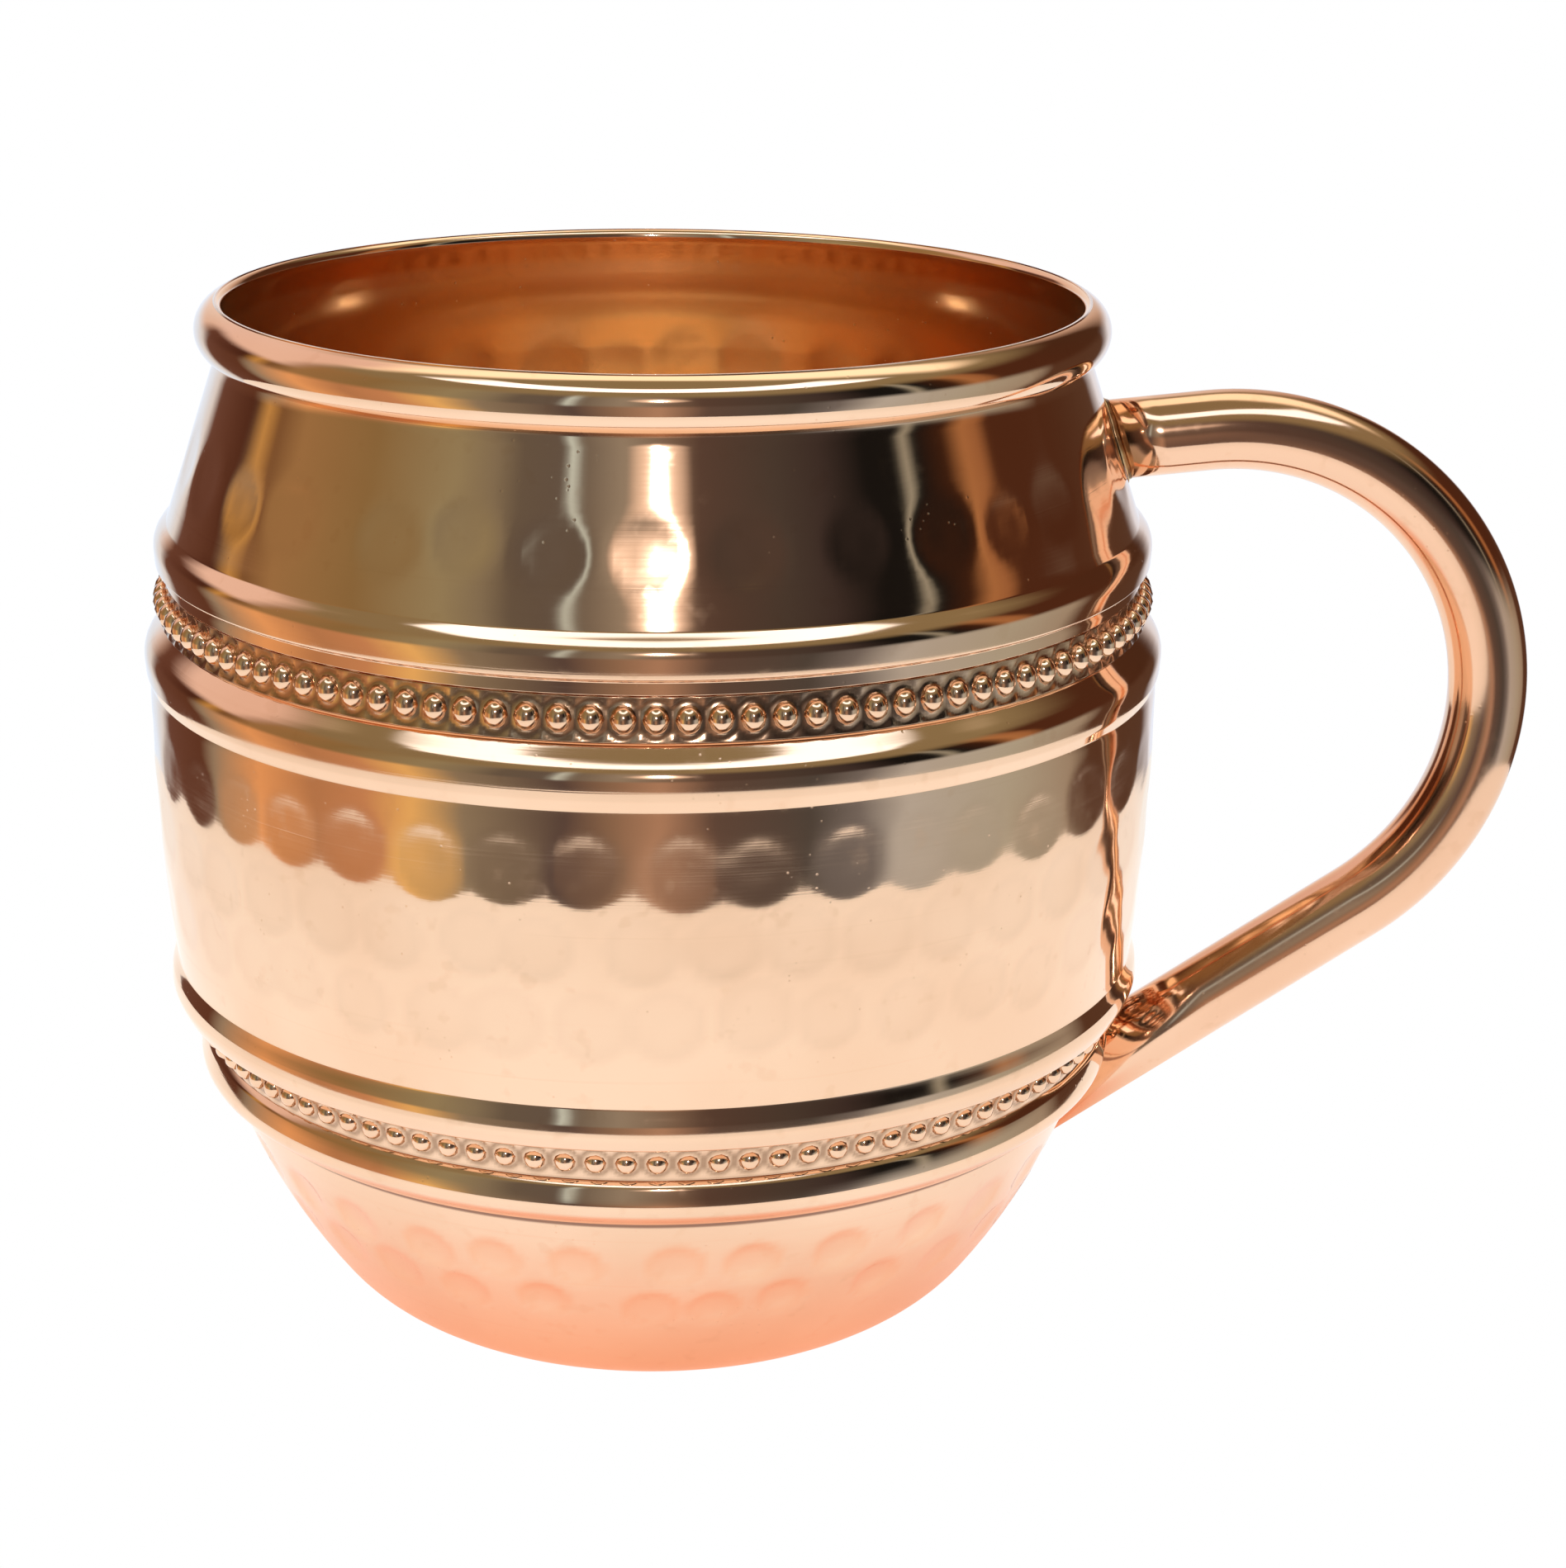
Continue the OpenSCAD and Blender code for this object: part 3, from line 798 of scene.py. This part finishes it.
# %% A white board
BOARD_RADIUS, BOARD_DROP = 0.19, 0.0002
GLOW_FROM, GLOW_TO = 0.026, 0.056
bm = bmesh.new()
bmesh.ops.create_circle(bm, cap_ends=True, segments=128, radius=BOARD_RADIUS)
bmesh.ops.translate(bm, vec=(0, 0, -BOARD_DROP), verts=bm.verts)
board = make_piece(bm, "board")
board_white = bpy.data.materials.new("board white")
board_white.use_nodes = True
r = Recipe(board_white.node_tree)
place = r.node("ShaderNodeTexCoord", output=3)
away = r.node("ShaderNodeVectorMath", {"operation": "LENGTH"}, {0: place}, output="Value")
glow = r.blend(r.stretch(0.09, BOARD_RADIUS, away), (1.0, 1.03, 1.05, 1), (0.86, 0.88, 0.88, 1))
glow = r.blend(r.stretch(GLOW_FROM, GLOW_TO, away), (0.95, 0.48, 0.32, 1), glow)
lit = r.node("ShaderNodeBsdfPrincipled", {}, {
    "Base Color": (0.35, 0.35, 0.35, 1), "Roughness": 0.9, "Emission Color": glow,
    "Emission Strength": 0.84})
bare = r.node("ShaderNodeEmission", {}, {"Strength": 1.0})
to_eye = r.node("ShaderNodeLightPath", output="Is Camera Ray")
shader = r.node("ShaderNodeMixShader", {}, {0: to_eye, 1: lit, 2: bare})
r.node("ShaderNodeOutputMaterial", {}, {"Surface": shader})
board.data.materials.append(board_white)

# %% [markdown]
# ## The room
# The room is dim and warm. Colours round the horizon are set by compass direction as seen from
# the mug, zero being straight ahead towards the eye and minus being left: one row for what stands
# above the edge of the table and one row for what lies just below it. Overhead hangs a soft white
# light, which draws the thin white lines along the ridges. A bright patch high up behind the mug
# lights its inside, and a pale wall behind it at the left brightens the rim. Rays from the eye
# itself see only white.

# %% The room's two rows of colours, and the soft light overhead
BLACK = (0.01, 0.01, 0.01)
above_table = (
    (-180, (0.95, 0.87, 0.80)), (-153, (0.80, 0.60, 0.50)), (-145, (0.14, 0.06, 0.04)),
    (-120, (0.07, 0.025, 0.015)), (-114, (0.55, 0.33, 0.10)), (-108, (0.20, 0.11, 0.05)),
    (-98, (0.34, 0.22, 0.10)), (-74, (0.27, 0.20, 0.09)), (-51, (0.31, 0.30, 0.19)),
    (-41, (0.24, 0.23, 0.17)), (-34, (0.14, 0.13, 0.11)), (-23, (0.13, 0.12, 0.11)),
    (-21, (0.60, 0.80, 0.85)), (-18, (0.17, 0.16, 0.14)), (-8, (0.30, 0.29, 0.25)),
    (4, (0.19, 0.15, 0.12)),
    (11, (0.10, 0.07, 0.06)), (30, (0.07, 0.06, 0.055)), (42, (0.05, 0.04, 0.04)),
    (54, BLACK), (63, BLACK), (66, (0.35, 0.38, 0.34)), (69, BLACK), (78, (0.05, 0.02, 0.01)),
    (84, (0.42, 0.21, 0.09)), (89, (0.34, 0.16, 0.07)), (93, (0.08, 0.03, 0.015)),
    (112, (0.08, 0.03, 0.015)), (150, (0.07, 0.03, 0.015)), (162, (0.60, 0.42, 0.32)),
    (180, (0.95, 0.87, 0.80)))
below_edge = (
    (-180, (0.90, 0.97, 1.1)), (-156, (0.80, 0.94, 1.1)), (-148, (0.75, 0.80, 0.85)),
    (-142, (0.15, 0.07, 0.05)), (-122, (0.12, 0.05, 0.03)), (-116, (0.31, 0.27, 0.21)),
    (-98, (0.83, 0.46, 0.21)), (-81, (0.49, 0.27, 0.14)), (-67, (0.59, 0.32, 0.17)),
    (-55, (0.84, 0.59, 0.23)), (-43, (0.27, 0.25, 0.19)), (-20, (0.10, 0.08, 0.08)),
    (-10, (0.26, 0.19, 0.14)), (1, (0.44, 0.30, 0.22)), (12, (0.12, 0.09, 0.08)),
    (34, (0.08, 0.08, 0.08)), (45, (0.18, 0.19, 0.21)), (57, (0.48, 0.54, 0.57)),
    (85, (0.43, 0.47, 0.43)), (106, (0.36, 0.34, 0.29)), (114, (0.10, 0.05, 0.03)),
    (146, (0.10, 0.05, 0.03)), (156, (0.80, 0.85, 0.95)), (180, (0.90, 0.97, 1.1)))
SOFT_LIGHT_FROM, SOFT_LIGHT_TO, SOFT_EDGE = math.radians(55), math.radians(66), 0.04
CEILING, BACK_LIGHT = (0.27, 0.23, 0.13, 1), (1.4, 1.28, 1.0, 1)
PALE_WALL, SOFT_WHITE, LAMP_GLOW = (0.85, 0.66, 0.60, 1), (1.8, 2.0, 2.2, 1), (1.15, 0.95, 0.80, 1)

world = bpy.data.worlds.new("room")
world.use_nodes = True
bpy.context.scene.world = world
r = Recipe(world.node_tree)
way = r.node("ShaderNodeTexCoord", output=0)
split = r.node("ShaderNodeSeparateXYZ", {}, {0: way})
east, north, up = (Wire(r, split.socket.node.outputs[k]) for k in range(3))
compass = east.math("ARCTAN2", north * -1) / math.tau + 0.5
rise = up.math("ARCSINE")


def ring_of(row):
    """A ring of colours round the horizon, by compass direction.

    The stops are spread out evenly first and moved to their places from the far end, so that none
    passes another on its way.
    """
    ramp = r.node("ShaderNodeValToRGB", {}, {0: compass})
    stops = ramp.socket.node.color_ramp.elements
    while len(stops) < len(row):
        stops.new(0.5)
    for k in range(len(row)):
        stops[k].position = k / len(row)
    for stop, (_, colour) in zip(stops, row):
        stop.color = colour + (1,)
    for k in range(len(row) - 1, -1, -1):
        stops[k].position = row[k][0] / 360 + 0.5
    return ramp


def between(low, full, full_to, high):
    """One between two heights above the horizon, in degrees, fading to zero outside them."""
    fade_in = r.stretch(math.radians(low), math.radians(full), rise)
    return fade_in * r.stretch(math.radians(full_to), math.radians(high), rise, 1.0, 0.0)


above = r.stretch(math.radians(-3), math.radians(9), rise)
room = r.blend(above, ring_of(below_edge), ring_of(above_table))
room = r.blend(r.stretch(math.radians(28), math.radians(44), rise), room, CEILING)
behind = between(42, 52, 72, 80) * r.stretch(0.05, 0.3, north)
room = r.blend(behind, room, BACK_LIGHT)
left_wall = between(12, 22, 50, 60) * r.stretch(0.1, 0.35, north) * r.stretch(0.15, 0.45, east * -1)
room = r.blend(left_wall, room, PALE_WALL)
soft_light = (r.stretch(SOFT_LIGHT_FROM - SOFT_EDGE, SOFT_LIGHT_FROM, rise)
              * r.stretch(SOFT_LIGHT_TO, SOFT_LIGHT_TO + SOFT_EDGE, rise, 1.0, 0.0)
              * r.stretch(-0.05, 0.15, north * -1))
room = r.blend(soft_light, room, SOFT_WHITE)
LAMP_RISE, LAMP_TURN = math.radians(24), math.radians(1)
lamp_way = Vector((math.sin(LAMP_TURN) * math.cos(LAMP_RISE),
                   -math.cos(LAMP_TURN) * math.cos(LAMP_RISE), math.sin(LAMP_RISE)))
near_lamp = r.node("ShaderNodeVectorMath", {"operation": "DOT_PRODUCT"}, {0: way, 1: lamp_way},
                   output="Value")
halo = r.stretch(math.cos(math.radians(8)), math.cos(math.radians(2)), near_lamp, 0.0, 0.7)
room = r.blend(halo, room, LAMP_GLOW)
room = r.blend(r.node("ShaderNodeLightPath", output="Is Camera Ray"), room, (1, 1, 1, 1))
background = r.node("ShaderNodeBackground", {}, {"Color": room})
r.node("ShaderNodeOutputWorld", {}, {"Surface": background})

# %% [markdown]
# A small bright lamp stands a little above the eye. It leaves the hot spots on the ridges and on
# the rim, and the scratches draw it out into a pale column down the neck.

# %% The small lamp
LAMP_AWAY, LAMP_SIZE, LAMP_POWER = 0.9, 0.028, 1.3
lamp_light = bpy.data.lights.new("lamp", "AREA")
lamp_light.shape, lamp_light.size, lamp_light.energy = "DISK", LAMP_SIZE, LAMP_POWER
lamp = bpy.data.objects.new("lamp", lamp_light)
bpy.context.scene.collection.objects.link(lamp)
lamp.location = Vector((0, 0, upper_row * MM)) + lamp_way * LAMP_AWAY
lamp.rotation_euler = lamp_way.to_track_quat("Z", "Y").to_euler()
print("lamp at", [round(side, 2) for side in lamp.location])

# %% [markdown]
# ## The eye
# The mug is seen from close by and from a little above, with the handle straight out to the
# right.

# %% The camera
EYE_AWAY, EYE_UP = 0.297, 0.147
LOOK_DOWN, LOOK_ASIDE, ROLL = math.radians(18.28), math.radians(2.25), math.radians(0.141)
camera_data = bpy.data.cameras.new("eye")
camera_data.lens, camera_data.sensor_width, camera_data.shift_y = 74.0, 36.0, 0.0073
camera = bpy.data.objects.new("eye", camera_data)
bpy.context.scene.collection.objects.link(camera)
bpy.context.scene.camera = camera
level = Matrix.Rotation(math.pi / 2 - LOOK_DOWN, 4, "X")
turned = level @ Matrix.Rotation(-LOOK_ASIDE, 4, "Y") @ Matrix.Rotation(-ROLL, 4, "Z")
camera.matrix_world = Matrix.Translation((0, -EYE_AWAY, EYE_UP)) @ turned
bpy.context.scene.view_settings.view_transform = "Standard"
bpy.context.scene.cycles.glossy_bounces = 8
bpy.context.scene.cycles.max_bounces = 12
